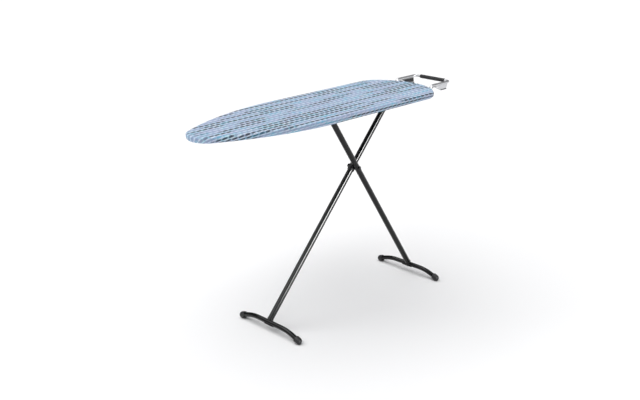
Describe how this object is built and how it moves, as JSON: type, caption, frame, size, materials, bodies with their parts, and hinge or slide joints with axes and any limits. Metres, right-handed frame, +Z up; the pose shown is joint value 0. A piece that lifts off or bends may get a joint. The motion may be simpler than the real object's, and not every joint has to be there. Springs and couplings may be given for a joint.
{
  "type": "ironing board",
  "caption": "Folding ironing board: padded tapered top on crossed T-legs with arched feet, a height lever and an iron rest at the tail.",
  "frame": {"origin": "on the floor, under the middle of the whole object", "axes": "+X from the rounded nose to the iron rest, +Y across the board to the side with the height lever, +Z up"},
  "size_m": [1.234, 0.3434, 0.8085],
  "materials": {
    "cover_fabric": "woven cotton print, matt",
    "felt": "needled felt, matt",
    "mesh_steel": "satin grey powder coat",
    "frame_steel": "satin black powder coat",
    "leg_paint": "gloss black stove enamel",
    "zinc": "zinc plated",
    "rest_silver": "satin silver lacquer",
    "rest_rubber": "matt silicone",
    "black_plastic": "fine moulded texture",
    "nylon": "natural nylon",
    "foot_rubber": "moulded, slightly glossy"
  },
  "bodies": {
    "board": {"cover": "cover_fabric", "cover_hem": "cover_fabric", "felt_pad": "felt", "mesh_top": "mesh_steel", "rim_tube": "frame_steel", "brace_front": "frame_steel", "brace_middle": "frame_steel", "brace_rear": "frame_steel", "rail_near": "frame_steel", "rail_far": "frame_steel", "hinge_pin": "zinc", "hinge_cap_near": "zinc", "hinge_cap_far": "zinc", "rest_strap": "frame_steel", "rest_tube": "rest_silver", "rest_sleeve": "rest_rubber", "heel_bar": "rest_silver", "rest_stay_near": "rest_silver", "rest_wing_near": "rest_silver", "rest_pad_near": "rest_rubber", "rest_lip_near": "rest_rubber", "rest_clamp_near_front": "black_plastic", "rest_clamp_near_rear": "black_plastic", "rest_stay_far": "rest_silver", "rest_wing_far": "rest_silver", "rest_pad_far": "rest_rubber", "rest_lip_far": "rest_rubber", "rest_clamp_far_front": "black_plastic", "rest_clamp_far_rear": "black_plastic", "rest_screws": "zinc"},
    "front_leg": {"front_leg_tube": "leg_paint", "hinge_sleeve": "leg_paint", "pivot_collar": "black_plastic", "pivot_washer": "leg_paint", "pivot_bolt": "leg_paint", "pivot_nut": "leg_paint", "front_foot_bar": "leg_paint", "front_cap_near": "foot_rubber", "front_cap_far": "foot_rubber", "front_saddle": "leg_paint", "front_rivet": "zinc"},
    "rear_leg": {"rear_leg_tube": "leg_paint", "rear_leg_plug": "black_plastic", "slide_axle": "zinc", "axle_bush_near": "nylon", "axle_bush_far": "nylon", "axle_clip_near": "zinc", "axle_clip_far": "zinc", "rear_foot_bar": "leg_paint", "rear_cap_near": "foot_rubber", "rear_cap_far": "foot_rubber", "rear_saddle": "leg_paint", "rear_rivet": "zinc"},
    "height_lever": {"lever_wire": "leg_paint", "lever_grip": "black_plastic", "latch_plate": "leg_paint", "lever_spring": "zinc", "lever_clip": "zinc"}
  },
  "joints": [
    {"name": "front_leg_fold", "type": "hinge", "parent": "board", "child": "front_leg", "pos_m": [0.3546, 0, 0.755], "axis": [0, 1, 0], "range_deg": [0, 45.2]},
    {"name": "rear_leg_scissor", "type": "hinge", "parent": "front_leg", "child": "rear_leg", "pos_m": [0.15204, 0, 0.52841], "axis": [0, 1, 0], "range_deg": [-98.08, 0]},
    {"name": "lever_squeeze", "type": "hinge", "parent": "board", "child": "height_lever", "pos_m": [-0.243, 0, 0.759], "axis": [0, -1, 0], "range_deg": [0, 3.3], "stiffness_Nm_per_rad": 4, "springref_deg": -14.32}
  ],
  "couplings": [
    {"joint": "rear_leg_scissor", "follows": "front_leg_fold", "ratio": -2.1687}
  ]
}
